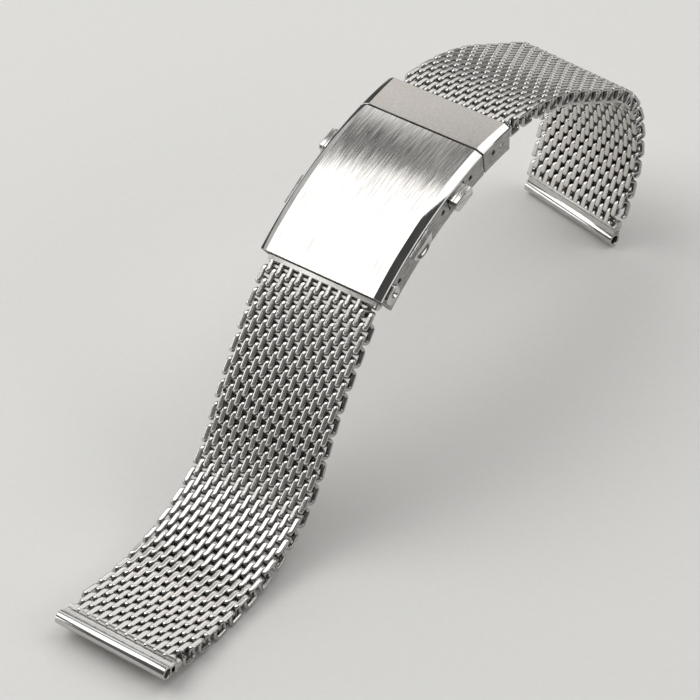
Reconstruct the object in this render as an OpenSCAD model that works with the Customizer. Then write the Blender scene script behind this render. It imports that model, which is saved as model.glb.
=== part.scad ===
// Milanese mesh watch bracelet with a folding clasp, lying as it is displayed.
// Millimetres. X runs across the strap, Y from the near end tube to the far arch, +Z up.
// The origin is on the table, below the middle of the bracelet.

/* [Mesh] */
// Width and height of the flattened wire
wire = 0.66; // [0.5:0.02:0.7]
// Thickness of the woven mesh
mesh_thickness = 3; // [2.6:0.1:3.6]
// Closest distance between two turns of a coil, which sets how many fit side by side
turn_pitch = 1.9; // [1.9:0.02:2.1]
// Distance between two coils along the strap
row_pitch = 2; // [1.9:0.05:2.1]
// Free length inside a coil, along the strap
coil_window = 2.2; // [2.1:0.05:2.3]

/* [Lie of the two halves] */
// Slope of the near half where it leaves its end tube, in degrees
near_start_slope = -9.7; // [-14:0.1:0]
// Coils in each stretch of the near half, from its end tube on
near_stretch_coils = [3, 5, 6, 7, 14];
// Bend between two coils in each of those stretches, in degrees
near_stretch_bend = [0.3, 2.8, 3.5, 5, -1.2];
// Slope of the far half where it leaves the clasp, in degrees
far_start_slope = -3.6; // [-8:0.1:0]
// Coils in each stretch of the far half, from the clasp on
far_stretch_coils = [12, 6, 6, 8, 3];
// Bend between two coils in each of those stretches, in degrees
far_stretch_bend = [-2.3, 0.4, -7.5, -4.5, -0.4];
// How far the far half has turned sideways at its end tube, in degrees
far_skew = 12; // [0:1:14]

/* [End pieces] */
// Outer diameter of an end tube
tube_d = 2.4; // [2.2:0.1:2.8]
// Bore of an end tube, for a spring bar
tube_bore = 1.6; // [1.4:0.1:1.8]
// Width of the strap, and length of the tubes that meet the watch
lug_width = 22; // [18:0.5:24]
// Distance from a tube's axis to the first coil
tube_to_coil = 3.8; // [3.6:0.1:4.4]
// Thickness of the lip between a tube and the mesh
lip_thickness = 1; // [0.8:0.1:1.4]
// Gap between the lip and the first coil
lip_gap = 0.14; // [0.1:0.02:0.3]
// Diameter of the rod that the last coil hooks over
rod_d = 0.9; // [0.7:0.05:0.95]
// Thickness of the two cheeks that hold this rod
cheek = 0.85; // [0.6:0.05:0.9]

/* [Clasp] */
// Gap between the strap and each side wall of the clasp
strap_gap = 0.2; // [0.15:0.05:0.5]
// Radius of the clasp's curved top
clasp_radius = 62; // [50:1:80]
// Slope of the top at the seam between cover and end link, in degrees
seam_slope = 6.6; // [3:0.1:10]
// Length of the long cover, along its top
cover_length = 31.3; // [29:0.1:34]
// Length of the short end link, along its top
link_length = 8; // [7.6:0.1:10]
// Gap in the seam
seam_gap = 0.25; // [0.2:0.05:0.4]
// Thickness of top plates and side walls
plate = 0.9; // [0.7:0.05:1]
// Height of the side walls
wall_height = 4.9; // [4.4:0.1:5.2]
// Width of the polished bevel along the top edges, across the clasp
bevel = 1.4; // [0.6:0.1:1.8]
// How far this bevel falls towards the side wall
bevel_drop = 0.6; // [0.3:0.05:0.7]
// Distance from the low end of the cover to the first adjusting hole
bar_inset = 2.6; // [2.5:0.1:3]
// Depth of the spring bars under the top
bar_depth = 2.5; // [2.5:0.05:2.8]
// Distance between two adjusting holes
adjust_step = 2.3; // [1.8:0.1:2.6]
// Adjusting holes in each side wall
adjust_holes = 2; // [1:1:3]

/* [Folding blades] */
// Radius of the cover's nose, which is rolled round its hinge pin
nose_r = 1.35; // [1.3:0.05:1.5]
// Diameter of both hinge pins
pin_d = 0.9; // [0.8:0.05:1]
// Running clearance of a knuckle on its pin, in radius
pin_clearance = 0.06; // [0.05:0.01:0.1]
// Thickness of the blades
blade = 0.8; // [0.6:0.05:0.9]
// Width of the blades
blade_width = 13.6; // [10:0.2:14]
// Length of the middle blade, along the curve
middle_length = 20; // [18:0.5:21]
// Depth of the inner blade's outer face
inner_depth = 3.5; // [3.5:0.05:3.6]
// Depth of the hinge between the two blades
fold_depth = 3; // [2.9:0.05:3.1]
// Outer radius of this hinge's knuckles
fold_knuckle_r = 1.05; // [0.9:0.05:1.1]

/* [Push buttons] */
// Distance from the seam to the middle of the buttons
button_place = 8.2; // [8:0.1:9]
// Length of a button's head along the clasp
button_length = 4.8; // [4:0.1:5.4]
// Height of a button's head
button_height = 2.2; // [1.8:0.1:2.4]
// How far a button stands out of the side wall
button_proud = 1.7; // [1.2:0.1:2]
// How far a button can be pressed
button_travel = 0.8; // [0.6:0.05:0.9]
// Diameter of the wire of a button's spring
spring_wire = 0.3; // [0.25:0.05:0.35]
// Outer diameter of a button's spring
spring_d = 1.4; // [1.2:0.1:1.6]
// Turns of a button's spring
spring_turns = 4; // [3:1:5]

/* [Lifting lugs] */
// Distance from the seam to the middle of the lugs
lug_place = 19.6; // [17:0.1:21]
// Radius of the round side of a lug
lug_r = 2.9; // [2:0.1:3]
// How far a lug stands out of the side wall
lug_proud = 0.9; // [0.5:0.1:1.2]

/* [Hidden] */

column_count = floor((lug_width - wire) / turn_pitch);
column_pitch = (lug_width - wire) / column_count;
clasp_width = lug_width + 2 * (strap_gap + plate);

// The two halves as chains of coils: each coil has its Y, its height, its slope, its X and its turn sideways.
function sum(list, last, i = 0) = i > last ? 0 : list[i] + sum(list, last, i + 1);
function stretch(counts, i, k = 0) = k >= len(counts) - 1 || i < sum(counts, k) ? k : stretch(counts, i, k + 1);
function steps_of(counts) = sum(counts, len(counts) - 1);
function ahead(p, run) = [p[0] + run * cos(p[2]) * cos(p[4]), p[1] + run * sin(p[2]), p[2],
    p[3] + run * cos(p[2]) * sin(p[4]), p[4]];
function turned(p, bend, skew) = [p[0], p[1], p[2] + bend, p[3], skew];
function next_coil(coil, bend, skew) = ahead(turned(ahead(coil, row_pitch / 2), bend, skew), row_pitch / 2);
function chain(first, counts, bends, skew) =
    [for (i = 0, coil = first; i <= steps_of(counts);
          coil = next_coil(coil, bends[stretch(counts, i)], skew * pow((i + 1) / steps_of(counts), 2)), i = i + 1)
        coil];

near_coils_0 = chain(ahead([0, 0, near_start_slope, 0, 0], tube_to_coil), near_stretch_coils,
    near_stretch_bend, 0);
near_bar_0 = ahead(near_coils_0[len(near_coils_0) - 1], tube_to_coil);

// Angle from straight up to a place on the clasp, at a distance from the seam (minus is towards the low end).
function clasp_angle(s) = s / clasp_radius * 180 / PI - seam_slope;
bar_place = bar_inset - cover_length;
link_bar_place = link_length - bar_inset;
bar_r = clasp_radius - bar_depth;
clasp_y_0 = near_bar_0[0] - bar_r * sin(clasp_angle(bar_place));
clasp_z_0 = near_bar_0[1] - bar_r * cos(clasp_angle(bar_place));
far_start_0 = [clasp_y_0 + bar_r * sin(clasp_angle(link_bar_place)),
    clasp_z_0 + bar_r * cos(clasp_angle(link_bar_place))];
far_coils_0 = chain(ahead([far_start_0[0], far_start_0[1], far_start_slope, 0, 0], tube_to_coil),
    far_stretch_coils, far_stretch_bend, far_skew);
far_end_0 = ahead(far_coils_0[len(far_coils_0) - 1], tube_to_coil);

// The whole is moved so that it stands on z = 0, with the origin below its middle.
coil_reach = coil_window / 2 + wire;
function low_side(coil) = coil[1] - mesh_thickness / 2 * abs(cos(coil[2])) - coil_reach * abs(sin(coil[2]));
lowest = min([min([for (c = near_coils_0) low_side(c)]), min([for (c = far_coils_0) low_side(c)]),
    -tube_d / 2, far_end_0[1] - tube_d / 2]);
// Greatest Y of a coil: its upper left edge, as the coil is turned to the right.
function left_edge(i) = -(column_count - 0.5) / 2 * column_pitch - wire / 2
    + (i % 2 == 0 ? -1 : 1) * column_pitch / 4;
function far_side(p, x) = p[0] - x * sin(p[4]) + cos(p[4]) * (mesh_thickness / 2 * abs(sin(p[2]))
    + coil_window / 2 * abs(cos(p[2])));
farthest = max([for (i = [0 : len(far_coils_0) - 1]) far_side(far_coils_0[i], left_edge(i))]);
y_move = -(farthest - tube_d / 2) / 2;
z_move = -lowest;
function moved(p) = [p[0] + y_move, p[1] + z_move, p[2], p[3], p[4]];

near_coils = [for (c = near_coils_0) moved(c)];
far_coils = [for (c = far_coils_0) moved(c)];
near_end = moved([0, 0, near_start_slope, 0, 0]);
near_bar = moved(near_bar_0);
far_bar = moved([far_start_0[0], far_start_0[1], far_start_slope, 0, 0]);
far_end = moved(far_end_0);
clasp_y = clasp_y_0 + y_move;
clasp_z = clasp_z_0 + z_move;

function clasp_point(s, depth) = [clasp_y + (clasp_radius - depth) * sin(clasp_angle(s)),
    clasp_z + (clasp_radius - depth) * cos(clasp_angle(s))];

half_width = clasp_width / 2;
wall_in = half_width - plate;
hinge_place = -nose_r;
hinge_depth = nose_r - 0.05;
fold_place = hinge_place - middle_length;
middle_depth = hinge_depth + 0.3;
knuckle_r = nose_r - 0.5;
fold_room_r = fold_knuckle_r + 0.35;
clasp_tube_length = lug_width - 0.4;
bar_d = tube_bore - 0.2;
bar_pin_d = 0.8;
bar_hole_d = bar_pin_d + 0.1;
bar_inset_x = 0.6;
pin_hold = 4;
blade_gap = 0.15;
barrel_end = clasp_tube_length / 2 - bar_inset_x;
pin_head = barrel_end - pin_hold;
group_coils = len(near_coils) / 6;

echo(near_bar = near_bar, far_bar = far_bar, near_end = near_end, far_end = far_end);
echo(clasp = [clasp_y, clasp_z], hinge = clasp_point(hinge_place, hinge_depth), fold = clasp_point(fold_place, fold_depth));
echo(button = clasp_point(-button_place, bar_depth), button_slope = -clasp_angle(-button_place));
echo(near_joints = [for (g = [1 : 5]) near_coils[g * group_coils - 1] ],
    far_joints = [for (g = [1 : 5]) far_coils[g * group_coils - 1]]);
echo(width_over_coils = column_pitch * column_count + wire, farthest = farthest, top = clasp_z + clasp_radius);

// A solid drawn in X and Z and drawn out along Y, between y0 and y1.
module drawn(y0, y1) {
    translate([0, y1, 0]) rotate([90, 0, 0]) linear_extrude(y1 - y0) children();
}

// A round bar across the strap, from x0 to x1.
module across(x0, x1, d) {
    translate([x0, 0, 0]) rotate([0, 90, 0]) cylinder(d = d, h = x1 - x0, $fn = 32);
}

module place(pose) {
    translate([pose[3], pose[0], pose[1]]) rotate([0, 0, -pose[4]]) rotate([pose[2], 0, 0]) children();
}

function column(n) = (n - (column_count - 0.5) / 2) * column_pitch;

// One turn's end bend: a slanting piece of wire from the upper strand at x0 to the lower strand at x1.
module bend_piece(x0, x1) {
    polygon([[x0 - wire / 2, mesh_thickness / 2], [x0 + wire / 2, mesh_thickness / 2],
        [x1 + wire / 2, -mesh_thickness / 2], [x1 - wire / 2, -mesh_thickness / 2]]);
}

// One coil of the mesh: flat upper strands, slanting bends and lower strands in one unbroken wire.
module coil(first, last) {
    upper = (mesh_thickness - wire) / 2;
    drawn(-coil_window / 2, coil_window / 2) for (n = [first : last]) {
        translate([column(n), upper]) square(wire, center = true);
        translate([column(n) + column_pitch / 2, -upper]) square(wire, center = true);
    }
    drawn(coil_window / 2, coil_reach) for (n = [first : last])
        bend_piece(column(n), column(n) + column_pitch / 2);
    drawn(-coil_reach, -coil_window / 2) for (n = [first : last - 1])
        bend_piece(column(n + 1), column(n) + column_pitch / 2);
}

// Every second coil stands half a column aside, and the end coils are a turn shorter for the cheeks.
module mesh_group(coils, g) {
    for (i = [g * group_coils : (g + 1) * group_coils - 1]) {
        side = i % 2 == 0 ? -1 : 1;
        at_end = i == 0 || i == len(coils) - 1;
        place(coils[i]) translate([side * column_pitch / 4, 0, 0])
            coil(at_end && side < 0 ? 1 : 0, at_end && side > 0 ? column_count - 2 : column_count - 1);
    }
}

// End piece: tube, lip and two cheeks for the hook rod. The mesh leaves it towards +Y.
module end_piece(length) {
    cheek_out = length / 2;
    cheek_in = lug_width / 2 - cheek;
    rod_y = tube_to_coil - coil_window / 2 + rod_d / 2 + 0.08;
    lip_end = tube_to_coil - coil_reach - lip_gap;
    difference() {
        union() {
            across(-cheek_out, cheek_out, tube_d);
            translate([-cheek_out, 0, -lip_thickness / 2]) cube([length, lip_end, lip_thickness]);
            for (side = [-1, 1]) translate([side * (cheek_out + cheek_in) / 2, (rod_y + rod_d / 2) / 2, 0])
                cube([cheek_out - cheek_in, rod_y + rod_d / 2, rod_d + 0.3], center = true);
        }
        across(-length, length, tube_bore);
        translate([0, rod_y, 0]) across(-cheek_out + 0.2, cheek_out - 0.2, rod_d);
    }
}

module end_rod(length) {
    translate([0, tube_to_coil - coil_window / 2 + rod_d / 2 + 0.08, 0])
        across(-length / 2 + 0.2, length / 2 - 0.2, rod_d);
}

// A spiral of round wire along X, with few sides to the wire and few rings to a turn.
module spiral(length, outer_d, wire_d, turns, sides = 6, turn_rings = 8) {
    rings = turn_rings * turns;
    r = (outer_d - wire_d) / 2;
    points = [for (i = [0 : rings], k = [0 : sides - 1])
        let (t = i * 360 / turn_rings, a = k * 360 / sides, q = r + wire_d / 2 * cos(a))
        [wire_d / 2 + (length - wire_d) * i / rings + wire_d / 2 * sin(a), q * cos(t), q * sin(t)]];
    skin = [for (i = [0 : rings - 1], k = [0 : sides - 1], h = [0, 1])
        let (a = i * sides + k, b = i * sides + (k + 1) % sides)
        h == 0 ? [a, b, b + sides] : [a, b + sides, a + sides]];
    caps = [for (k = [1 : sides - 2], h = [0, 1])
        h == 0 ? [0, k + 1, k] : [rings * sides, rings * sides + k, rings * sides + k + 1]];
    polyhedron(points, concat(skin, caps));
}

// Spring bar of the clasp: a barrel, two stepped pins and the spring between them.
module bar_barrel() {
    difference() {
        across(-barrel_end, barrel_end, bar_d);
        across(-clasp_tube_length, clasp_tube_length, 1);
    }
}

module bar_pins() {
    for (side = [-1, 1]) scale_side(side) {
        across(pin_head + 0.8, half_width - 0.1, bar_pin_d);
        across(pin_head, pin_head + 1.2, 0.94);
    }
}

module scale_side(side) {
    if (side > 0) children();
    else mirror([1, 0, 0]) children();
}

module bar_spring() {
    spring_end = pin_head - 0.1;
    translate([-spring_end, 0, 0]) spiral(2 * spring_end, 0.9, 0.2, 8, 4, 6);
}

// A piece of the clasp at a distance from the seam and a depth under its top; its Z points outwards.
module on_clasp(s, depth) {
    translate([0, clasp_y, clasp_z]) rotate([-clasp_angle(s), 0, 0])
        translate([0, 0, clasp_radius - depth]) children();
}

// A curved band of the clasp between two distances from the seam; its outline is in depth and X.
module band(s0, s1) {
    translate([0, clasp_y, clasp_z]) rotate([0, -90, 0]) rotate([0, 0, clasp_angle(s0)])
        rotate_extrude(angle = clasp_angle(s1) - clasp_angle(s0), $fn = 240)
            translate([clasp_radius, 0]) children();
}

// Outline of the bevelled channel that the cover and the end link share.
module channel() {
    polygon([[0, half_width - bevel], [-bevel_drop, half_width], [-wall_height, half_width],
        [-wall_height, wall_in], [-plate, wall_in], [-plate, -wall_in], [-wall_height, -wall_in],
        [-wall_height, -half_width], [-bevel_drop, -half_width], [0, -half_width + bevel]]);
}

module strip(depth, thickness, width) {
    translate([-depth - thickness, -width / 2]) square([thickness, width]);
}

module clasp_cover() color("#b9bbbd") {
    hinge_room = knuckle_r + 0.12;
    slot = blade_width + 2 * blade_gap;
    difference() {
        union() {
            difference() {
                band(-cover_length, -0.06) channel();
                on_clasp(hinge_place, hinge_depth) difference() {
                    translate([-clasp_width, 0, 0]) cube([2 * clasp_width, 2 * nose_r, 2 * nose_r]);
                    across(-clasp_width - 1, clasp_width + 1, 2 * nose_r);
                }
            }
            on_clasp(hinge_place, hinge_depth) across(-wall_in - 0.3, wall_in + 0.3, 2 * nose_r - 0.3);
        }
        on_clasp(hinge_place, hinge_depth) across(-half_width - 1, half_width + 1, pin_d);
        on_clasp(hinge_place, hinge_depth) across(-slot / 2, slot / 2, 2 * hinge_room);
        on_clasp(hinge_place, hinge_depth) translate([-slot / 2, -2 * nose_r, -2 * nose_r])
            cube([slot, 4 * nose_r, 2 * nose_r]);
        for (i = [0 : adjust_holes - 1]) on_clasp(bar_place + i * adjust_step, bar_depth)
            across(-half_width - 1, half_width + 1, bar_hole_d);
        on_clasp(-button_place, bar_depth) translate([-half_width - 1, 0, 0]) rotate([90, 0, 90])
            linear_extrude(clasp_width + 2) button_outline(-button_gap);
    }
    for (side = [-1, 1]) on_clasp(-button_place + 1, bar_depth)
        translate([side * (blade_width / 2 + 0.75), 0, (bar_depth - plate / 2 - 0.6) / 2])
            cube([0.6, 1.6, bar_depth - plate / 2 + 0.6], center = true);
}

module cover_hinge_pin() color("#8f9193")
    on_clasp(hinge_place, hinge_depth) across(-half_width + 0.3, half_width - 0.3, pin_d);

module middle_blade() color("#a9abad") {
    difference() {
        union() {
            on_clasp(hinge_place, hinge_depth) across(-blade_width / 2 + 0.2, blade_width / 2 - 0.2, 2 * knuckle_r);
            band(fold_place, hinge_place) strip(middle_depth, blade, blade_width);
            on_clasp(fold_place, fold_depth) across(-blade_width / 4, blade_width / 4, 2 * fold_knuckle_r);
        }
        on_clasp(hinge_place, hinge_depth) across(-blade_width, blade_width, pin_d + 2 * pin_clearance);
        on_clasp(fold_place, fold_depth) across(-blade_width, blade_width, pin_d + 2 * pin_clearance);
        for (side = [-1, 1]) on_clasp(fold_place, fold_depth) scale_side(side)
            across(blade_width / 4, blade_width, 2 * fold_room_r);
    }
}

module blade_hinge_pin() color("#8f9193")
    on_clasp(fold_place, fold_depth) across(-blade_width / 2 + 0.3, blade_width / 2 - 0.3, pin_d);

ear_place = -button_place - 0.7;
stud_x = blade_width / 2 + 1.8;
head_start = 0.9;
head_end = 2.6;
button_gap = 0.1;
button_hook = 2;

// Takes away both sides of a blade beyond x, between two distances from the seam.
module side_cut(s0, s1, x) {
    for (side = [-1, 1]) band(s0, s1)
        translate([-wall_height - 1, side > 0 ? x : -half_width]) square([3, half_width - x]);
}

module inner_blade() color("#a2a4a6") {
    difference() {
        union() {
            difference() {
                band(fold_place, head_end) strip(inner_depth, blade, 2 * wall_in);
                side_cut(fold_place - 1, head_start, stud_x + 0.9);
                side_cut(fold_place - 2, ear_place - 1, blade_width / 2);
                side_cut(ear_place + 1, head_start + 0.01, blade_width / 2);
            }
            on_clasp(fold_place, fold_depth) across(-blade_width / 2 + 0.2, blade_width / 2 - 0.2,
                2 * fold_knuckle_r);
        }
        on_clasp(fold_place, fold_depth) across(-blade_width, blade_width, pin_d);
        on_clasp(fold_place, fold_depth)
            across(-blade_width / 4 - 0.2, blade_width / 4 + 0.2, 2 * fold_room_r);
    }
}

// Two studs on the inner blade's ears, beside the hooks of the push buttons.
module latch_studs() color("#c2c4c6")
    for (side = [-1, 1]) on_clasp(ear_place, inner_depth) translate([side * stud_x, 0, 0])
        cylinder(d = 0.9, h = inner_depth - bar_depth + 0.2, $fn = 24);

module end_link() color("#b9bbbd") {
    difference() {
        band(seam_gap, link_length) channel();
        for (s = [link_bar_place, link_bar_place - adjust_step]) on_clasp(s, bar_depth)
            across(-half_width - 1, half_width + 1, bar_hole_d);
    }
}

// Push button: a stepped head through the side wall's window, a flange behind it and a hook to the stud.
module push_button(side) {
    flange_x = wall_in - 0.2;
    on_clasp(-button_place, bar_depth) scale_side(side) {
        translate([flange_x - 0.3, 0, 0]) rotate([90, 0, 90])
            linear_extrude(half_width + button_proud - 0.4 - flange_x + 0.3) button_outline(0);
        translate([half_width + button_proud - 0.5, 0, 0]) rotate([90, 0, 90]) linear_extrude(0.5)
            button_outline(0.35);
        translate([flange_x - 0.6, -button_length / 2 - 0.4, -button_height / 2 - 0.2])
            cube([0.6, button_length + 0.8, button_height + 0.4]);
        translate([stud_x - 0.7, -button_hook, -0.5]) cube([flange_x - 0.3 - stud_x + 0.7, 0.7, 1]);
    }
}

module button_outline(inset) {
    a = button_length / 2 - inset;
    b = button_height / 2 - inset;
    polygon([[-a, -b + 0.5], [-a + 0.5, -b], [a - 0.5, -b], [a, -b + 0.5],
        [a, b - 0.5], [a - 0.5, b], [-a + 0.5, b], [-a, b - 0.5]]);
}

module push_button_left() color("#cfd1d3") push_button(-1);
module push_button_right() color("#cfd1d3") push_button(1);

module button_spring(side) {
    seat = blade_width / 2 + 1.05;
    on_clasp(-button_place + 1, bar_depth) scale_side(side) translate([seat, 0, 0])
        spiral(wall_in - 0.8 - seat, spring_d, spring_wire, spring_turns);
}

module button_spring_left() color("#8f9193") button_spring(-1);
module button_spring_right() color("#8f9193") button_spring(1);

module lifting_lug(side) {
    on_clasp(-lug_place, bevel_drop + 0.4) scale_side(side) translate([half_width, 0, 0]) difference() {
        rotate([0, 90, 0]) cylinder(r = lug_r, h = lug_proud, $fn = 48);
        translate([-1, -2 * lug_r, 0]) cube([lug_proud + 2, 4 * lug_r, 2 * lug_r]);
    }
}

module lifting_lug_left() color("#d3d5d7") lifting_lug(-1);
module lifting_lug_right() color("#d3d5d7") lifting_lug(1);

module near_mesh_1() color("#a6a8aa") mesh_group(near_coils, 0);
module near_mesh_2() color("#b0b2b4") mesh_group(near_coils, 1);
module near_mesh_3() color("#a6a8aa") mesh_group(near_coils, 2);
module near_mesh_4() color("#b0b2b4") mesh_group(near_coils, 3);
module near_mesh_5() color("#a6a8aa") mesh_group(near_coils, 4);
module near_mesh_6() color("#b0b2b4") mesh_group(near_coils, 5);
module far_mesh_1() color("#a6a8aa") mesh_group(far_coils, 0);
module far_mesh_2() color("#b0b2b4") mesh_group(far_coils, 1);
module far_mesh_3() color("#a6a8aa") mesh_group(far_coils, 2);
module far_mesh_4() color("#b0b2b4") mesh_group(far_coils, 3);
module far_mesh_5() color("#a6a8aa") mesh_group(far_coils, 4);
module far_mesh_6() color("#b0b2b4") mesh_group(far_coils, 5);

module near_end_tube() color("#c6c8ca") place(near_end) end_piece(lug_width);
module near_end_rod() color("#8f9193") place(near_end) end_rod(lug_width);
module near_clasp_tube() color("#c6c8ca") place(near_bar) rotate([0, 0, 180]) end_piece(clasp_tube_length);
module near_clasp_rod() color("#8f9193") place(near_bar) rotate([0, 0, 180]) end_rod(clasp_tube_length);
module far_clasp_tube() color("#c6c8ca") place(far_bar) end_piece(clasp_tube_length);
module far_clasp_rod() color("#8f9193") place(far_bar) end_rod(clasp_tube_length);
module far_end_tube() color("#c6c8ca") place(far_end) rotate([0, 0, 180]) end_piece(lug_width);
module far_end_rod() color("#8f9193") place(far_end) rotate([0, 0, 180]) end_rod(lug_width);

module near_bar_barrel() color("#9c9ea0") place(near_bar) bar_barrel();
module near_bar_pins() color("#8f9193") on_clasp(bar_place, bar_depth) bar_pins();
module near_bar_spring() color("#77797b") place(near_bar) bar_spring();
module far_bar_barrel() color("#9c9ea0") place(far_bar) bar_barrel();
module far_bar_pins() color("#8f9193") on_clasp(link_bar_place, bar_depth) bar_pins();
module far_bar_spring() color("#77797b") place(far_bar) bar_spring();

near_mesh_1();
near_mesh_2();
near_mesh_3();
near_mesh_4();
near_mesh_5();
near_mesh_6();
far_mesh_1();
far_mesh_2();
far_mesh_3();
far_mesh_4();
far_mesh_5();
far_mesh_6();
near_end_tube();
near_end_rod();
near_clasp_tube();
near_clasp_rod();
far_clasp_tube();
far_clasp_rod();
far_end_tube();
far_end_rod();
near_bar_barrel();
near_bar_pins();
near_bar_spring();
far_bar_barrel();
far_bar_pins();
far_bar_spring();
clasp_cover();
cover_hinge_pin();
middle_blade();
blade_hinge_pin();
inner_blade();
latch_studs();
end_link();
push_button_left();
push_button_right();
button_spring_left();
button_spring_right();
lifting_lug_left();
lifting_lug_right();
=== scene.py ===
# Milanese mesh bracelet: woven wire, end pieces and folding clasp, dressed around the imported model
import math
import bmesh
import bpy
from mathutils import Matrix, Vector


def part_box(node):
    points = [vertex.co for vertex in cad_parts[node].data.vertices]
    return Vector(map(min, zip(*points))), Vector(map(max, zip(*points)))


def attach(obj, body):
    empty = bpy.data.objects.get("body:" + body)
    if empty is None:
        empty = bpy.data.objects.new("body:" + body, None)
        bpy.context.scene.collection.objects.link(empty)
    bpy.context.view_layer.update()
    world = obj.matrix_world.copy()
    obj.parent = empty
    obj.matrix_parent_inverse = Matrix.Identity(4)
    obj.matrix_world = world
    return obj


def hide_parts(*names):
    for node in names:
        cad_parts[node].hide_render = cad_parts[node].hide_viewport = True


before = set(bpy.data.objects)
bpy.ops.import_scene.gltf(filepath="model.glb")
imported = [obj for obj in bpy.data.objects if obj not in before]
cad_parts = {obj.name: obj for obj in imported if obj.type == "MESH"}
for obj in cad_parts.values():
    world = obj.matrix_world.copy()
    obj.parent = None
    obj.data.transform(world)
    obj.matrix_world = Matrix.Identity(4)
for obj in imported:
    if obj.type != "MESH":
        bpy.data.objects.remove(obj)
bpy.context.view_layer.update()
mm = 0.001
print("frame loaded:", len(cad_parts), "nodes")


def placed(name, data):
    piece = bpy.data.objects.new(name, data)
    bpy.context.scene.collection.objects.link(piece)
    return piece


camera = {"place": (0.25746, -0.34251, 0.40049), "lens": 176.9, "sensor": 36.0, "clip": (0.01, 10),
          "right": (0.81023, 0.58543, -0.02820), "down": (0.37506, -0.55485, -0.74261),
          "look": (-0.45039, 0.59111, -0.66913)}


def placeCamera(c):
    lens = bpy.data.cameras.new("camera")
    lens.lens, lens.sensor_width, lens.sensor_height = c["lens"], c["sensor"], c["sensor"]
    lens.clip_start, lens.clip_end = c["clip"]
    view = placed("camera", lens)
    axes = Matrix((c["right"], -Vector(c["down"]), -Vector(c["look"]))).transposed()
    view.matrix_world = Matrix.Translation(c["place"]) @ axes.to_4x4()
    bpy.context.scene.camera = view


placeCamera(camera)
print("camera placed")


def linear(hexColour):
    parts = [int(hexColour[i:i + 2], 16) / 255 for i in (1, 3, 5)]
    shades = [c / 12.92 if c <= 0.04045 else ((c + 0.055) / 1.055) ** 2.4 for c in parts]
    return (*shades, 1.0)


# Settings are sockets or properties of the node, and stops are places and colours of a ramp.
def addNode(tree, kind, settings=None, links=None, stops=()):
    node = tree.nodes.new(kind)
    for name, value in (settings or {}).items():
        if isinstance(name, int) or name in node.inputs:
            node.inputs[name].default_value = value
        else:
            setattr(node, name, value)
    for name, source in (links or {}).items():
        tree.links.new(source, node.inputs[name])
    for _ in stops[2:]:  # a ramp starts with two
        node.color_ramp.elements.new(0.5)
    for k, (place, colour) in enumerate(stops):
        node.color_ramp.elements[k].position = place
        node.color_ramp.elements[k].color = linear(colour)
    return node


def emptyTree(owner):
    owner.use_nodes = True
    owner.node_tree.nodes.clear()
    return owner.node_tree


# Ends a material as bare metal: its roughness goes from low to high over a span of the pattern,
# and its relief follows a height that is deep mm.
def bareMetal(tree, colour, pattern, span, rough, height, bump, deep):
    roughness = addNode(tree, "ShaderNodeMapRange",
                        {"From Min": span[0], "From Max": span[1],
                         "To Min": rough[0], "To Max": rough[1]},
                        {"Value": pattern}).outputs["Result"]
    relief = addNode(tree, "ShaderNodeBump", {"Strength": bump, "Distance": deep * mm},
                     {"Height": height}).outputs["Normal"]
    shader = addNode(tree, "ShaderNodeBsdfPrincipled", {"Metallic": 1.0},
                     {"Base Color": colour, "Roughness": roughness, "Normal": relief})
    addNode(tree, "ShaderNodeOutputMaterial", links={"Surface": shader.outputs["BSDF"]})


# Shares of the marks and the clouds in the pattern, and the span of it that sets the roughness
marking = {"marks": 0.8, "clouds": 0.2, "detail": 3.0, "roughness": 0.6, "cloudDetail": 2.0,
           "span": (0.3, 0.7), "deep": 0.02}


# Steel with marks and faint clouds, coloured between dark and light. Marks are the size of one
# mark along X, Y and Z in mm, and cloud is the size of a cloud. The finest lines are drawn
# 0.12 to 0.3 mm wide, and real ones are about 0.03 mm, too fine to show.
def steel(name, dark, light, rough, marks, bump, cloud=6.0, spread=0.18):
    m = marking
    material = bpy.data.materials.new(name)
    tree = emptyTree(material)
    place = addNode(tree, "ShaderNodeTexCoord").outputs["Object"]
    scale = tuple(1 / (size * mm) for size in marks)
    stretched = addNode(tree, "ShaderNodeMapping", {"Scale": scale},
                        {"Vector": place}).outputs["Vector"]
    lines = addNode(tree, "ShaderNodeTexNoise",
                    {"Scale": 1.0, "Detail": m["detail"], "Roughness": m["roughness"]},
                    {"Vector": stretched}).outputs["Fac"]
    clouds = addNode(tree, "ShaderNodeTexNoise",
                     {"Scale": 1 / (cloud * mm), "Detail": m["cloudDetail"]},
                     {"Vector": place}).outputs["Fac"]
    share = addNode(tree, "ShaderNodeMath", {"operation": "MULTIPLY", 1: m["marks"]},
                    {0: lines}).outputs["Value"]
    mixed = addNode(tree, "ShaderNodeMath", {"operation": "MULTIPLY_ADD", 1: m["clouds"]},
                    {0: clouds, 2: share}).outputs["Value"]
    colour = addNode(tree, "ShaderNodeValToRGB", links={"Fac": mixed},
                     stops=((0.5 - spread, dark), (0.5 + spread, light))).outputs["Color"]
    bareMetal(tree, colour, mixed, m["span"], rough, lines, bump, m["deep"])
    return material


# The darkest colour here is painted shade, laid on the wire where it lies deep between the strands
woven = {"grain": 0.35, "detail": 3.0, "grainWear": 0.5, "paintedShade": "#2b2a29",
         "bare": ((0.1, "#a9a8a6"), (0.5, "#c4c3c0"), (1.0, "#d9d5d1")),
         "span": (0.2, 1.3), "rough": (0.16, 0.26), "bump": 0.3, "deep": 0.03}
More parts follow.
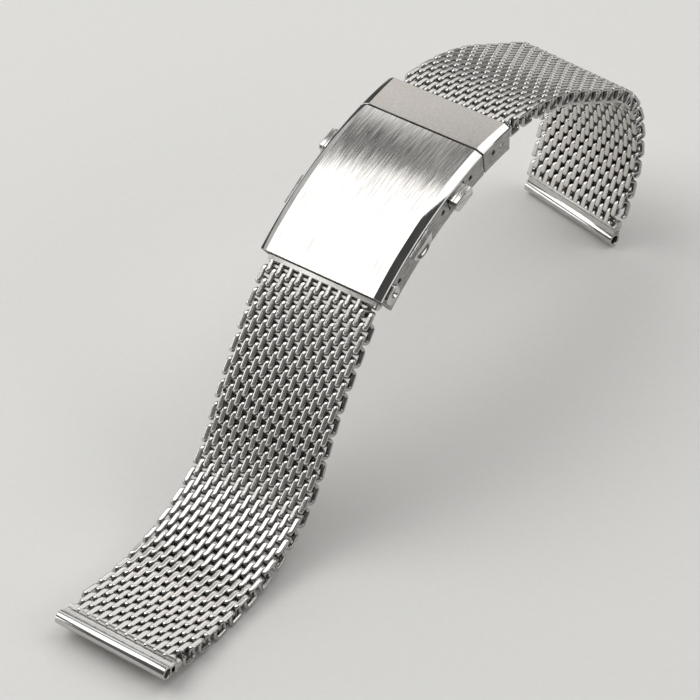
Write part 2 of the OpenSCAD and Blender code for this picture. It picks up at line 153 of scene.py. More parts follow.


# Steel wire, rolled flat on its outer faces and tumbled: bright flats, and painted shade that
# darkens the wire deep between the strands. Its tumbling marks are drawn 0.35 mm wide, coarser than
# real ones.
def wovenWire(name):
    w = woven
    material = bpy.data.materials.new(name)
    tree = emptyTree(material)
    place = addNode(tree, "ShaderNodeTexCoord").outputs["Object"]
    rubbed = addNode(tree, "ShaderNodeAttribute", {"attribute_name": "rubbed"}).outputs["Fac"]
    unshaded = addNode(tree, "ShaderNodeAttribute", {"attribute_name": "unshaded"}).outputs["Fac"]
    grain = addNode(tree, "ShaderNodeTexNoise",
                    {"Scale": 1 / (w["grain"] * mm), "Detail": w["detail"]},
                    {"Vector": place}).outputs["Fac"]
    wear = addNode(tree, "ShaderNodeMath", {"operation": "MULTIPLY_ADD", 1: w["grainWear"]},
                   {0: grain, 2: rubbed}).outputs["Value"]
    bare = addNode(tree, "ShaderNodeValToRGB", links={"Fac": wear},
                   stops=w["bare"]).outputs["Color"]
    # Painted shade: the wire is mixed towards the dark colour where it lies deep in the mesh, away
    # from its edges
    colour = addNode(tree, "ShaderNodeMix", {"data_type": "RGBA", 6: linear(w["paintedShade"])},
                     {0: unshaded, 7: bare}).outputs[2]
    bareMetal(tree, colour, wear, w["span"], w["rough"], grain, w["bump"], w["deep"])
    return material


finish = {
    # Belt-ground lengthwise: long hairlines that spread the light across the strap
    "brushedTop": steel("steel belt-ground top", "#9b9996", "#d9d6d2", (0.16, 0.24),
                        (0.2, 5, 5), 0.22, 9.0, 0.12),
    # The link is blasted finer: even, without lines
    "satinLink": steel("steel satin link top", "#b5b0ab", "#cbc6c0", (0.34, 0.42),
                       (0.3, 0.5, 0.5), 0.25),
    # Buffed facet: nearly a mirror, with faint buffing haze, in a darkened colour that is a painted
    # dark reflection
    "buffedBevel": steel("steel buffed bevel with painted dark reflection", "#9d9c9a", "#b5b4b1", (0.04, 0.08),
                         (0.6, 3, 3), 0.02),
    # Side walls lapped along their length: soft grey shine, in a darker colour that is painted shade
    # on the side faces
    "lappedSide": steel("steel lapped side with painted shade", "#838280", "#b1b0ad", (0.22, 0.36),
                        (2, 2, 0.3), 0.5, 3.0, 0.14),
    # Milled and left inside: dull
    "milledInside": steel("steel milled inside", "#84837f", "#a3a29f", (0.38, 0.5),
                          (1.2, 1.2, 0.25), 0.4),
    # Turned and polished tubes: bright long highlight with fine lines along them
    "polishedTube": steel("steel polished tube", "#b3b2af", "#d2d1ce", (0.12, 0.18),
                          (9, 0.4, 0.4), 0.04),
    # Cold-drawn pins and rods: drawing lines along them
    "drawnRod": steel("steel drawn rod", "#a5a4a1", "#cbcac7", (0.18, 0.3),
                      (4, 0.12, 0.12), 0.2),
    # Spring wire: darker, with a straw cast from tempering
    "springWire": steel("steel tempered spring wire", "#7f7c76", "#a29e96", (0.22, 0.34),
                        (0.2, 0.2, 0.2), 0.2),
    # Blanked and ground blades: even satin
    "satinBlade": steel("steel satin blade", "#a2a19e", "#c9c8c5", (0.22, 0.34),
                        (0.2, 6, 6), 0.35),
    # Buttons, lugs and pads, tumbled and buffed: soft bright edges
    "buffedSmall": steel("steel buffed small part", "#c4c3c0", "#dddcd9", (0.16, 0.22),
                         (1.5, 1.5, 1.5), 0.02),
    # The mesh: rows of bright dashes with painted shade between them
    "woven": wovenWire("steel woven wire"),
    # Brazed and rolled flat with the first row: even matt grey
    "brazedStrip": steel("steel brazed edge strip", "#cfccc8", "#e3e0dc", (0.24, 0.36),
                         (2.5, 0.8, 0.8), 0.05),
}
print("materials made:", len(finish))

doubles = 0.0001  # points of a skin that lie closer than this, in mm, become one


def faceOutwards(mesh, merge=0):
    bm = bmesh.new()
    bm.from_mesh(mesh)
    if merge:
        bmesh.ops.remove_doubles(bm, verts=bm.verts, dist=merge * mm)
    bmesh.ops.recalc_face_normals(bm, faces=bm.faces)
    bm.to_mesh(mesh)
    bm.free()


def newPiece(name, verts, faces, kinds):
    mesh = bpy.data.meshes.new(name)
    mesh.from_pydata(verts, [], faces)
    for kind in kinds:
        mesh.materials.append(finish[kind])
    faceOutwards(mesh, doubles)
    return placed(name, mesh)


# Smooths edges below an angle in degrees, and says what the piece rides on and stands for.
def mount(piece, sharp, body, slot, *stands):
    piece.data.polygons.foreach_set("use_smooth", [True] * len(piece.data.polygons))
    piece.data.set_sharp_from_angle(angle=math.radians(sharp))
    piece.data.update()
    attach(piece, body)
    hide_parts(*stands)


# The mesh that modifiers or curve settings make of a piece.
def solvedMesh(piece):
    bpy.context.view_layer.update()
    whole = piece.evaluated_get(bpy.context.evaluated_depsgraph_get())
    return bpy.data.meshes.new_from_object(whole)


# The two halves, coil by coil, from the same values as the solids. Start is (y, z, slope, x, skew)
# in mm and degrees, and each run of coils turns by its bend in degrees a coil.
halves = {
    "near": {"start": (-69.2092, 3.62286, -9.7, 0, 0), "coils": (3, 5, 6, 7, 14),
             "bend": (0.3, 2.8, 3.5, 5, -1.2), "skew": 0},
    "far": {"start": (22.293, 48.9755, -3.6, 0, 0), "coils": (12, 6, 6, 8, 3),
            "bend": (-2.3, 0.4, -7.5, -4.5, -0.4), "skew": 12},
}
weave = {"columns": 11, "columnPitch": 1.94, "rowPitch": 2.0, "tubeToCoil": 3.8, "groupCoils": 6,
         "pressedRows": 9, "sharp": 60}
# darkBelow and the height after it, in mm from the middle of the mesh, set where the painted shade
# on the wire fades out
wire = {"radius": 0.37, "wide": 0.46, "sides": 14, "halfStraight": 0.94, "reach": 0.58,
        "rise": 1.17, "square": 0.75, "lean": 0.03, "strandPoints": (-0.6, -0.3, 0, 0.3, 0.6),
        "bendSteps": 9, "curlSteps": 7, "dome": 0.6, "flatAt": 1.37, "pressedAt": 1.24,
        "give": 0.12, "rubbedOver": 0.1, "darkBelow": 0.05, "unshadedAbove": 0.8,
        "edgeFrom": 9.6, "edgeTo": 10.4}
stub = {"within": 10.3, "straight": (0.62, 0.8, 1.0),
        "curl": ((0.12, 1.22, 1.08), (0.24, 1.4, 0.85))}  # across, along and up


def ahead(p, run):
    y, z, slope, x, skew = p
    a, k = math.radians(slope), math.radians(skew)
    return (y + run * math.cos(a) * math.cos(k), z + run * math.sin(a), slope,
            x + run * math.cos(a) * math.sin(k), skew)


def coilPoses(half):
    bends = [b for count, b in zip(half["coils"], half["bend"]) for _ in range(count)]
    poses = [ahead(half["start"], weave["tubeToCoil"])]
    for i, bend in enumerate(bends):
        y, z, slope, x, _ = ahead(poses[-1], weave["rowPitch"] / 2)
        skew = half["skew"] * ((i + 1) / len(bends)) ** 2
        poses.append(ahead((y, z, slope + bend, x, skew), weave["rowPitch"] / 2))
    return poses


def poseMatrix(p, turned=False):
    y, z, slope, x, skew = p
    there = (Matrix.Translation((x * mm, y * mm, z * mm))
             @ Matrix.Rotation(math.radians(-skew), 4, "Z")
             @ Matrix.Rotation(math.radians(slope), 4, "X"))
    return there @ Matrix.Rotation(math.pi, 4, "Z") if turned else there


def limited(value):
    return min(1.0, max(0.0, value))


# Centre line of one coil: straight strands above and below, joined by slanting half-round bends.
def coilLine(first, last, shift, early, late):
    w, pitch = wire, weave["columnPitch"]
    half, rise, lean, steps = w["halfStraight"], w["rise"], w["lean"], w["bendSteps"]

    def bend(x0, x1, side, z0, start=0, stop=steps):
        points = []
        for k in range(start, stop + 1):
            c, s = math.cos(math.pi * k / steps), math.sin(math.pi * k / steps)
            z = math.copysign(abs(c) ** w["square"], c) * z0
            points.append((x0 + (x1 - x0) * k / steps,
                           side * (half + w["reach"] * max(0, s) ** w["square"]), z))
        return points

    def strand(x, way, z):
        return [(x + lean * t, way * half * t, z) for t in w["strandPoints"]]

    line = []
    for n in range(first, last + 1):
        upper = (n - (weave["columns"] - 0.5) / 2) * pitch + shift
        lower = upper + pitch / 2
        if n == first and early:  # half a turn more, which closes the left edge from below
            line += bend(upper - pitch + lean, upper - pitch / 2 - lean, 1, rise, steps // 2 + 1)
            line += strand(upper - pitch / 2, -1, -rise)
        if n == first:
            start = 0 if early else steps // 2
            line += bend(upper - pitch / 2 + lean, upper - lean, -1, -rise, start)
        line += strand(upper, 1, rise)
        line += bend(upper + lean, lower - lean, 1, rise)
        line += strand(lower, -1, -rise)
        if n < last or late:
            line += bend(lower + lean, upper + pitch - lean, -1, -rise)
        else:  # the cut end is curled up under the edge
            line += bend(lower + lean, lower + lean * 2, -1, -rise, 0, w["curlSteps"])
    if late:  # half a turn more, which closes the right edge from above
        line += strand(upper + pitch, 1, rise)
        line += bend(upper + pitch + lean, upper + pitch + lean * 2, 1, rise, 0, steps // 2)
    return line


# Adds flattened wire along a line to a skin, and how far each point is rubbed and how far it is out
# of the painted shade.
def sweepCoil(line, flatAt, turn, skin):
    w, verts = wire, skin["verts"]
    base, count, sides = len(verts), len(line), w["sides"]
    points = [Vector(p) for p in line]
    for k, p in enumerate(points):
        along = (points[min(k + 1, count - 1)] - points[max(k - 1, 0)]).normalized()
        side = (Vector((1, 0, 0)) - along * along.x).normalized()
        out = along.cross(side)
        dome = w["dome"] if k in (0, count - 1) else 1.0  # rounded cut ends
        wide, thick = dome * w["wide"], dome * w["radius"]
        atEdge = limited((abs(p.x) - w["edgeFrom"]) / (w["edgeTo"] - w["edgeFrom"]))
        for j in range(sides):
            a = 2 * math.pi * (j + 0.5) / sides
            v = p + side * (wide * math.cos(a)) + out * (thick * math.sin(a))
            # Painted shade mask: 0 deep in the mesh, 1 near its outer faces and at its edges
            high = (abs(v.z) - w["darkBelow"]) / (w["unshadedAbove"] - w["darkBelow"])
            skin["unshaded"].append(limited(max(atEdge, high)))
            over = abs(v.z) - flatAt
            if over > 0:
                v.z = math.copysign(flatAt + w["give"] * over, v.z)
            skin["rubbed"].append(limited(over / w["rubbedOver"]))
            verts.append(turn @ (v * mm))
    for k in range(count - 1):
        for j in range(sides):
            a, b = base + k * sides + j, base + k * sides + (j + 1) % sides
            skin["faces"].append((a, b, b + sides, a + sides))
    skin["faces"].append(tuple(base + j for j in range(sides)))
    skin["faces"].append(tuple(base + (count - 1) * sides + j for j in reversed(range(sides))))


# Where the pressed row ends under the lip: short strand ends in the lanes the last coil leaves.
def stubLines(shift):
    w, s, pitch = wire, stub, weave["columnPitch"]
    lines = []
    for n in range(-1, weave["columns"] + 1):
        for up in (1, -1):
            x = (n - (weave["columns"] - 0.5) / 2) * pitch + shift + (0 if up > 0 else pitch / 2)
            if abs(x) < s["within"]:
                straight = [(x + w["lean"] * y, y, up * w["rise"]) for y in s["straight"]]
                lines.append(straight + [(x + across, y, up * z) for across, y, z in s["curl"]])
    return lines


def weaveHalf(which):
    poses = coilPoses(halves[which])
    count, group = len(poses), weave["groupCoils"]
    for g in range(count // group):
        skin = {"verts": [], "faces": [], "rubbed": [], "unshaded": []}
        for i in range(g * group, (g + 1) * group):
            side = -1 if i % 2 == 0 else 1
            atEnd = i in (0, count - 1)
            first = 1 if atEnd and side < 0 else 0
            last = weave["columns"] - (2 if atEnd and side > 0 else 1)
            fromEnd = i if which == "near" else count - 1 - i
            press = max(0.0, 1 - fromEnd / weave["pressedRows"])
            flatAt = wire["flatAt"] + (wire["pressedAt"] - wire["flatAt"]) * press
            shift = side * weave["columnPitch"] / 4
            coil = coilLine(first, last, shift, side > 0, side < 0 and not atEnd)
            sweepCoil(coil, flatAt, poseMatrix(poses[i]), skin)
            if atEnd:
                way = 1 if i == 0 else -1
                beyond = poseMatrix(ahead(poses[i], -way * weave["rowPitch"]), way < 0)
                for line in stubLines(-shift):
                    sweepCoil(line, flatAt, beyond, skin)
        node = f"{which}_mesh_{g + 1}"
        mesh = bpy.data.meshes.new(node + "_wire")
        mesh.from_pydata(skin["verts"], [], skin["faces"])
        mesh.materials.append(finish["woven"])
        for look in ("rubbed", "unshaded"):
            mesh.attributes.new(look, "FLOAT", "POINT").data.foreach_set("value", skin[look])
        faceOutwards(mesh)
        piece = placed(node + "_wire", mesh)
        mount(piece, weave["sharp"], f"{which}_segment_{g + 1}", "mesh_steel", node)


for which in halves:
    weaveHalf(which)
print("mesh woven")

# Cover and link start and end at these distances from the seam, along the curve in mm
clasp = {"centre": (23.9645, -10.501), "radius": 62.0, "slope": 6.6, "halfWidth": 12.1,
         "wall": 4.9, "plate": 0.9, "bevelAcross": 1.4, "bevelDown": 0.6, "cornerIn": 0.13,
         "cornerUp": 0.05, "cornerDown": 0.09, "edge": 0.07, "cover": (-31.3, -0.06),
         "link": (0.25, 8.0), "linkTaper": 0.3, "step": 0.6, "barDepth": 2.5, "sharp": 8}
hole = {"cover": (-28.7, -26.4, -12.2, -3.9), "link": (5.4, 3.1), "width": 0.9, "mouth": 0.12,
        "past": 0.4, "flare": 0.5, "sides": 24}
# Which faces of a plate get which finish: distances in mm, and how far they face up or sideways
facing = {"skin": 0.05, "top": 0.98, "nearBevel": 0.2, "bevel": 0.3, "nearSide": 0.1, "side": 0.7}
# Each layer of a button is how far out it is and how far it is drawn in, in mm
button = {"place": 8.2, "length": 4.8, "height": 2.2, "play": 0.1, "past": 1, "cut": 0.4,
          "round": 0.06, "sharp": 20,
          "layers": ((-1.2, 0.0), (0.66, 0.0), (0.78, 0.28), (0.9, 0.0), (1.5, 0.0), (1.65, 0.1),
                     (1.7, 0.24))}


# A point of the clasp: along its curve from the seam, below its top face, and across, in mm.
def claspPoint(s, depth, x):
    c = clasp
    a = s / c["radius"] - math.radians(c["slope"])
    r = c["radius"] - depth
    return Vector((x, c["centre"][0] + r * math.sin(a), c["centre"][1] + r * math.cos(a))) * mm


# Rounds the corners of a closed outline with arcs that take less than half of each edge.
def roundedLoop(points, radius, steps):
    loop = []
    for i, p in enumerate(points):
        a, b, c = Vector(points[i - 1]), Vector(p), Vector(points[(i + 1) % len(points)])
        u, v = (a - b).normalized(), (c - b).normalized()
        half = math.acos(max(-1, min(1, u.dot(v)))) / 2
        cut = min(radius / math.tan(half), (a - b).length / 2.1, (c - b).length / 2.1)
        middle = b + (u + v).normalized() * (cut / math.cos(half))
        start, end = b + u * cut - middle, b + v * cut - middle
        for k in range(steps + 1):
            loop.append(middle + start.lerp(end, k / steps).normalized() * start.length)
    return [(p.x, p.y) for p in loop]


# Draws an anticlockwise outline in by d, or a clockwise one out, and no corner by over twice d.
def insetLoop(points, d):
    loop = []
    for i, p in enumerate(points):
        a, b, c = Vector(points[i - 1]), Vector(p), Vector(points[(i + 1) % len(points)])
        u, v = (b - a).normalized(), (c - b).normalized()
        n = (Vector((-u.y, u.x)) + Vector((-v.y, v.x))).normalized()
        grow = 1 / max(0.5, n.dot(Vector((-u.y, u.x))))
        loop.append((b.x + n.x * d * grow, b.y + n.y * d * grow))
    return loop


# Joins closed loops of equal length into a skin, with a flat face at each end.
def stackLoops(loops):
    verts = [v for loop in loops for v in loop]
    n = len(loops[0])
    faces = [(k * n + j, k * n + (j + 1) % n, (k + 1) * n + (j + 1) % n, (k + 1) * n + j)
             for k in range(len(loops) - 1) for j in range(n)]
    faces.append(tuple(reversed(range(n))))
    faces.append(tuple((len(loops) - 1) * n + j for j in range(n)))
    return verts, faces


def channelLoop(flat):
    c = clasp
    out, inside, corner = c["halfWidth"], c["halfWidth"] - c["plate"], -c["bevelDown"]
    right = [(flat, 0), (out - c["cornerIn"], corner + c["cornerUp"]),
             (out, corner - c["cornerDown"]), (out, -c["wall"]), (inside, -c["wall"]),
             (inside, -c["plate"])]
    return roundedLoop(right + [(-x, z) for x, z in reversed(right)], c["edge"], 2)


# Tool that cuts holes across the clasp, with small countersinks.
def holeTool(name, places):
    h, wall, depth = hole, clasp["halfWidth"], clasp["barDepth"]
    narrow, flared = h["width"] / 2, h["width"] / 2 + h["flare"]
    rims = ((-wall - h["past"], flared), (-wall + h["mouth"], narrow),
            (wall - h["mouth"], narrow), (wall + h["past"], flared))
    turns = [2 * math.pi * j / h["sides"] for j in range(h["sides"])]
    verts, faces = [], []
    for s in places:
        loops = [[claspPoint(s + r * math.cos(a), depth + r * math.sin(a), x) for a in turns]
                 for x, r in rims]
        v, f = stackLoops(loops)
        faces += [tuple(i + len(verts) for i in face) for face in f]
        verts += v
    return newPiece(name, verts, faces, ["milledInside"])


# Tool that cuts the windows of both buttons.
def windowTool(name):
    b, c = button, clasp
    along, high = b["length"] / 2 + b["play"], b["height"] / 2 + b["play"]
    across = c["halfWidth"] + b["past"]
    corners = ((-1, -1), (1, -1), (1, 1), (-1, 1))
    loops = [[claspPoint(-b["place"] + p * along, c["barDepth"] + q * high, x) for p, q in corners]
             for x in (-across, across)]
    return newPiece(name, *stackLoops(loops), ["milledInside"])


def cutAway(piece, tools):
    for tool in tools:
        cut = piece.modifiers.new("cut", "BOOLEAN")
        cut.operation, cut.solver, cut.object = "DIFFERENCE", "EXACT", tool
        mesh = solvedMesh(piece)
        piece.modifiers.clear()
        piece.data = mesh
        bpy.data.objects.remove(tool)


# Ground top, buffed bevels darkened as a painted dark reflection, lapped sides darkened as painted
# shade, and dull inside, from where each face looks.
def finishChannel(piece):
    c, f = clasp, facing
    centre = Vector((0, c["centre"][0] * mm, c["centre"][1] * mm))
    bevelFrom = c["halfWidth"] - c["bevelAcross"] - f["nearBevel"]
    for face in piece.data.polygons:
        outwards = face.center - centre
        outwards.x = 0
        depth = c["radius"] - outwards.length / mm
        up = face.normal.dot(outwards.normalized())
        across = abs(face.center.x) / mm
        if depth < f["skin"] and up > f["top"]:
            face.material_index = 0
        # Bevels take the buffed finish, whose darkened colour is a painted dark reflection
        elif depth < c["bevelDown"] + f["skin"] and up > f["bevel"] and across > bevelFrom:
            face.material_index = 1
        # Side walls take the lapped finish, whose darker colour is painted shade
        elif across > c["halfWidth"] - f["nearSide"] and abs(face.normal.x) > f["side"]:
            face.material_index = 2
        else:
            face.material_index = 3
    piece.data.update()


# Curved plate with bevels and side walls. The link's flat widens by its taper.
def buildChannel(name, ends, taper, tools, top, body, node):
    c, e = clasp, clasp["edge"]
    s0, s1 = ends
    steps = int((s1 - s0) / c["step"])
    inner = [(s0 + e + (s1 - s0 - 2 * e) * k / steps, 0) for k in range(steps + 1)]
    loops = []
    for s, inset in [(s0, e)] + inner + [(s1, e)]:
        flat = c["halfWidth"] - c["bevelAcross"] + taper * (s - s0) / c["link"][1]
        loop = channelLoop(flat)
        if inset:
            loop = insetLoop(loop, -inset)
        loops.append([claspPoint(s, -z, x) for x, z in loop])
    piece = newPiece(name, *stackLoops(loops), [top, "buffedBevel", "lappedSide", "milledInside"])
    cutAway(piece, tools)
    finishChannel(piece)
    mount(piece, c["sharp"], body, "brushed_clasp_steel", node)


coverTools = [holeTool("cover_plate_holes", hole["cover"]), windowTool("button_window")]
linkTools = [holeTool("end_link_plate_holes", hole["link"])]
buildChannel("cover_plate", clasp["cover"], 0.0, coverTools, "brushedTop", "clasp_body",
             "clasp_cover")
buildChannel("end_link_plate", clasp["link"], clasp["linkTaper"], linkTools, "satinLink",
             "inner_body", "end_link")
print("clasp plates built")


# Push button: an eight-sided head that slides in the wall's window, with a fine groove round it.
def buildButton(side, word):
    b = button
    a, h, cut = b["length"] / 2, b["height"] / 2, b["cut"]
    outline = roundedLoop([(-a, -h + cut), (-a + cut, -h), (a - cut, -h), (a, -h + cut),
                           (a, h - cut), (a - cut, h), (-a + cut, h), (-a, h - cut)],
                          b["round"], 2)
    loops = []
    for out, inset in b["layers"]:
        x = side * (clasp["halfWidth"] + out)
        loops.append([claspPoint(-b["place"] + y, clasp["barDepth"] - z, x)
                      for y, z in insetLoop(outline, inset)])
    piece = newPiece(f"button_{word}_cap", *stackLoops(loops), ["buffedSmall"])
    mount(piece, b["sharp"], f"button_{word}_body", "polished_steel", f"push_button_{word}")


# Each layer of a lug is how far out it is, its radius, and how far below the flat it starts
lug = {"place": 19.6, "depth": 1.0, "steps": 28, "sharp": 40,
       "layers": ((-0.3, 2.9, 0.0), (0.05, 2.9, 0.0), (0.7, 2.88, 0.2), (0.86, 2.8, 0.27),
                  (0.9, 2.7, 0.36), (0.86, 2.6, 0.46), (0.66, 2.38, 0.6), (0.44, 2.12, 0.76),
                  (0.34, 1.8, 0.95))}


# Lifting lug for a fingernail: a D with a rounded rim round a hollow.
def buildLug(side, word):
    loops = []
    for out, r, below in lug["layers"]:
        first = math.asin(below / r)
        turns = [math.pi + first + (math.pi - 2 * first) * k / lug["steps"]
                 for k in range(lug["steps"] + 1)]
        x = side * (clasp["halfWidth"] + out)
        loops.append([claspPoint(-lug["place"] + r * math.cos(a), lug["depth"] - r * math.sin(a), x)
                      for a in turns])
    piece = newPiece(f"lug_{word}_rim", *stackLoops(loops), ["buffedSmall"])
    mount(piece, lug["sharp"], "clasp_body", "polished_steel", f"lifting_lug_{word}")


# The layers of a pad are like a button's
pad = {"from": -30.9, "to": -27.3, "top": 1.2, "low": 3.9, "round": 1.0, "steps": 6, "sharp": 25,
       "layers": ((-0.3, 0.0), (0.23, 0.0), (0.32, 0.06), (0.35, 0.18))}


# Raised pad round the lowest adjusting hole, where the wall is thickened for the spring bar's pin.
def buildPad(side, word):
    p = pad
    corners = [(p["from"], p["top"]), (p["to"], p["top"]), (p["to"], p["low"]),
               (p["from"], p["low"])]
    outline = roundedLoop(corners, p["round"], p["steps"])
    loops = [[claspPoint(s, depth, side * (clasp["halfWidth"] + out))
              for s, depth in insetLoop(outline, inset)] for out, inset in p["layers"]]
    piece = newPiece(f"pad_{word}", *stackLoops(loops), ["buffedSmall"])
    cutAway(piece, [holeTool(f"pad_{word}_hole", hole["cover"][:1])])
    mount(piece, p["sharp"], "clasp_body", "polished_steel", "clasp_cover")


for side, word in ((-1, "left"), (1, "right")):
    buildButton(side, word)
    buildLug(side, word)
    buildPad(side, word)
print("buttons, lugs and pads built")


# Outlines in Y and Z, drawn out along X with rounded edges; later outlines are holes.
def drawnOut(name, outlines, x0, x1, edge):
    curve = bpy.data.curves.new(name, "CURVE")
    curve.dimensions, curve.fill_mode = "2D", "BOTH"
    curve.extrude = ((x1 - x0) / 2 - edge) * mm
    curve.bevel_depth, curve.bevel_resolution, curve.offset = edge * mm, 2, -edge * mm
    for outline in outlines:
        spline = curve.splines.new("POLY")
        spline.points.add(len(outline) - 1)
        for point, (y, z) in zip(spline.points, outline):
            point.co = (y * mm, z * mm, 0, 1)
        spline.use_cyclic_u = True
    holder = placed(name, curve)
    mesh = solvedMesh(holder)
    bpy.data.objects.remove(holder)
    middle = (x0 + x1) / 2 * mm
    mesh.transform(Matrix(((0, 0, 1, middle), (1, 0, 0, 0), (0, 1, 0, 0), (0, 0, 0, 1))))
    return mesh


def mirrored(side):
    return [(y, -z) for y, z in reversed(side)]


# Sizes in mm; lug and bar are the lengths of the tubes at the watch and at the clasp's spring bars
endPiece = {"tube": 2.4, "bore": 1.6, "boreSteps": 28, "tubeSteps": 36, "lip": 1.4,
            "lipEnd": 1.93, "lipEdge": 0.06, "hollow": 0.1, "edge": 0.12, "lug": 22.0,
            "bar": 21.6, "sharp": 35}
cheek = {"from": 10.15, "start": 0.9, "end": 3.68, "high": 0.6, "cut": 0.25, "edge": 0.08}


def placeEnd(name, mesh, turn, kind, body, slot, node):
    mesh.transform(turn)
    mesh.materials.clear()
    mesh.materials.append(finish[kind])
    mount(placed(name, mesh), endPiece["sharp"], body, slot, node)


# Tube and lip in one outline, with a hollow between them on both faces.
def tubeOutline():
    e = endPiece
    r, half, reach, steps = e["tube"] / 2, e["lip"] / 2, e["lipEnd"], e["tubeSteps"]
    start = math.asin((half + e["hollow"]) / r)
    turns = [start + (2 * math.pi - 2 * start) * k / steps for k in range(steps + 1)]
    lower = [(r * math.cos(start) + e["hollow"], -half), (reach - e["lipEdge"], -half),
             (reach, -half + e["lipEdge"])]
    return [(r * math.cos(a), r * math.sin(a)) for a in turns] + lower + mirrored(lower)


# End piece: tube, lip, and a cheek at each end that holds the rod.
def buildEndPiece(name, turn, kind, body, node):
    e, c = endPiece, cheek
    half, r = e[kind] / 2, e["bore"] / 2
    turns = [2 * math.pi * k / e["boreSteps"] for k in range(e["boreSteps"])]
    bore = [(r * math.cos(a), r * math.sin(a)) for a in turns]
    mesh = drawnOut(name, [tubeOutline(), bore], -half, half, e["edge"])
    lower = [(c["start"], -c["high"]), (c["end"] - c["cut"], -c["high"]),
             (c["end"], c["cut"] - c["high"])]
    bm = bmesh.new()
    bm.from_mesh(mesh)
    for x0, x1 in ((-half, -c["from"]), (c["from"], half)):
        bm.from_mesh(drawnOut(name + "_cheek", [lower + mirrored(lower)], x0, x1, c["edge"]))
    bm.to_mesh(mesh)
    bm.free()
    placeEnd(name, mesh, turn, "polishedTube", body, "end_steel", node)


strip = {"from": 2.06, "low": 0.85, "slope": 0.32, "cut": 0.1, "edge": 0.06,
         "lug": {"to": 2.62, "height": 1.31, "width": 21.7},
         "bar": {"to": 3.15, "height": 1.42, "width": 21.3}}


# The outermost row of each half is pressed and brazed into a strip beside the lip.
def buildStrip(name, turn, kind, body, node):
    s, k = strip, strip[kind]
    upper = [(k["to"], k["height"] - s["cut"]), (k["to"] - s["cut"], k["height"]),
             (s["from"] + s["slope"], k["height"]), (s["from"], s["low"])]
    mesh = drawnOut(name, [upper + mirrored(upper)], -k["width"] / 2, k["width"] / 2, s["edge"])
    placeEnd(name, mesh, turn, "brazedStrip", body, "mesh_steel", node)


def endMatrix(which, turned):
    half = halves[which]
    if turned:
        return poseMatrix(ahead(coilPoses(half)[-1], weave["tubeToCoil"]), True)
    return poseMatrix(half["start"])


# Each end of the straps: where it lies, its kind and body, and what its tube and strip stand for
strapEnds = (
    ("near_lug", endMatrix("near", False), "lug", "near_segment_1", "near_end_tube",
     "near_mesh_1"),
    ("near_bar", endMatrix("near", True), "bar", "near_segment_6", "near_clasp_tube",
     "near_mesh_6"),
    ("far_bar", endMatrix("far", False), "bar", "far_segment_1", "far_clasp_tube",
     "far_mesh_1"),
    ("far_lug", endMatrix("far", True), "lug", "far_segment_6", "far_end_tube",
     "far_mesh_6"),
)
for name, turn, kind, body, tube, _ in strapEnds:
    buildEndPiece(name + "_tube", turn, kind, body, tube)
for name, turn, kind, body, _, coils in strapEnds:
    buildStrip(name + "_strip", turn, kind, body, coils)
print("end pieces built")

keptNodes = {
    "drawnRod": ("near_end_rod", "near_clasp_rod", "far_clasp_rod", "far_end_rod",
                 "near_bar_pins", "far_bar_pins", "cover_hinge_pin", "blade_hinge_pin",
                 "latch_studs"),
    "polishedTube": ("near_bar_barrel", "far_bar_barrel"),
    "springWire": ("near_bar_spring", "far_bar_spring", "button_spring_left",
                   "button_spring_right"),
    "satinBlade": ("middle_blade", "inner_blade"),
}
for kind, names in keptNodes.items():
    for name in names:
        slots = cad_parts[name].material_slots
        for holder in slots:
            holder.material = finish[kind]
        if not slots:
            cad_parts[name].data.materials.append(finish[kind])
print("kept nodes finished")

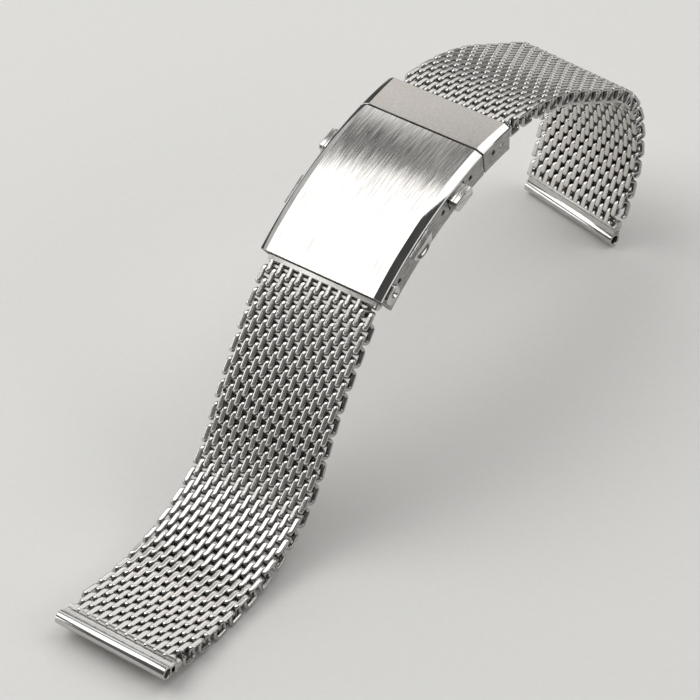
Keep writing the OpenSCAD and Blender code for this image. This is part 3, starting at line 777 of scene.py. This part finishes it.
# Fibre is the size of one clump in mm, and size is half the floor's width in metres
studio = {"floor": ((0.3, "#e2e1de"), (0.7, "#e4e3e0")), "fibre": 1.1111, "detail": 2.0,
          "rough": 0.8, "size": 3, "world": 0.13}
softboxes = {  # places and sizes in metres, shine as radiance
    "front": {"aim": (0.0, 0.0, 0.045), "place": (-0.36, -0.19, 0.66), "size": (0.62, 0.60),
              "shine": 2.6},
    "middle": {"aim": (0.0, 0.0, 0.045), "place": (-0.397, 0.402, 0.68), "size": (0.09, 0.66),
               "shine": 0.5},
    "side": {"aim": (0.0, 0.01, 0.045), "place": (0.20, 0.30, 0.70), "size": (0.30, 0.66),
             "shine": 2.6},
    "back": {"aim": (0.0, 0.02, 0.045), "place": (-0.45, 0.74, 0.62), "size": (1.0, 0.60),
             "shine": 1.0},
    "right": {"aim": (0.0, 0.0, 0.04), "place": (0.84, 0.20, 0.52), "size": (0.90, 0.36),
              "shine": 1.7},
    "left": {"aim": (0.0, -0.01, 0.03), "place": (-0.90, -0.55, 0.20), "size": (0.7, 0.34),
             "shine": 2.2},
    "edge": {"aim": (0.0, 0.0, 0.045), "place": (-0.90, 0.08, 0.38), "size": (1.0, 0.20),
             "shine": 0.9},
}


def softbox(name, s):
    lamp = bpy.data.lights.new(name, "AREA")
    lamp.shape, lamp.size, lamp.size_y = "RECTANGLE", s["size"][0], s["size"][1]
    lamp.energy = s["shine"] * math.pi * s["size"][0] * s["size"][1]
    box = placed(name, lamp)
    way = Vector(s["aim"]) - Vector(s["place"])
    box.rotation_euler = way.to_track_quat("-Z", "Y").to_euler()
    box.location = s["place"]


# Matt studio paper: pale, without shine, with fibre that barely shows.
def plainFloor(s):
    low, d = min(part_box(n)[0].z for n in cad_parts), s["size"]
    mesh = bpy.data.meshes.new("floor")
    mesh.from_pydata([(-d, -d, low), (d, -d, low), (d, d, low), (-d, d, low)], [], [(0, 1, 2, 3)])
    material = bpy.data.materials.new("matt studio paper")
    tree = emptyTree(material)
    place = addNode(tree, "ShaderNodeTexCoord").outputs["Object"]
    fibre = addNode(tree, "ShaderNodeTexNoise",
                    {"Scale": 1 / (s["fibre"] * mm), "Detail": s["detail"]},
                    {"Vector": place}).outputs["Fac"]
    colour = addNode(tree, "ShaderNodeValToRGB", links={"Fac": fibre},
                     stops=s["floor"]).outputs["Color"]
    shader = addNode(tree, "ShaderNodeBsdfPrincipled", {"Roughness": s["rough"]},
                     {"Base Color": colour})
    addNode(tree, "ShaderNodeOutputMaterial", links={"Surface": shader.outputs["BSDF"]})
    mesh.materials.append(material)
    floor = placed("floor", mesh)


def plainWorld(s):
    world = bpy.data.worlds.new("studio")
    tree = emptyTree(world)
    grey = (s["world"], s["world"], s["world"], 1)
    light = addNode(tree, "ShaderNodeBackground", {"Color": grey, "Strength": 1.0})
    addNode(tree, "ShaderNodeOutputWorld", links={"Surface": light.outputs["Background"]})
    bpy.context.scene.world = world


plainFloor(studio)
plainWorld(studio)
for name, box in softboxes.items():
    softbox(name, box)
bpy.context.scene.view_settings.view_transform = "Standard"
print("studio lit")
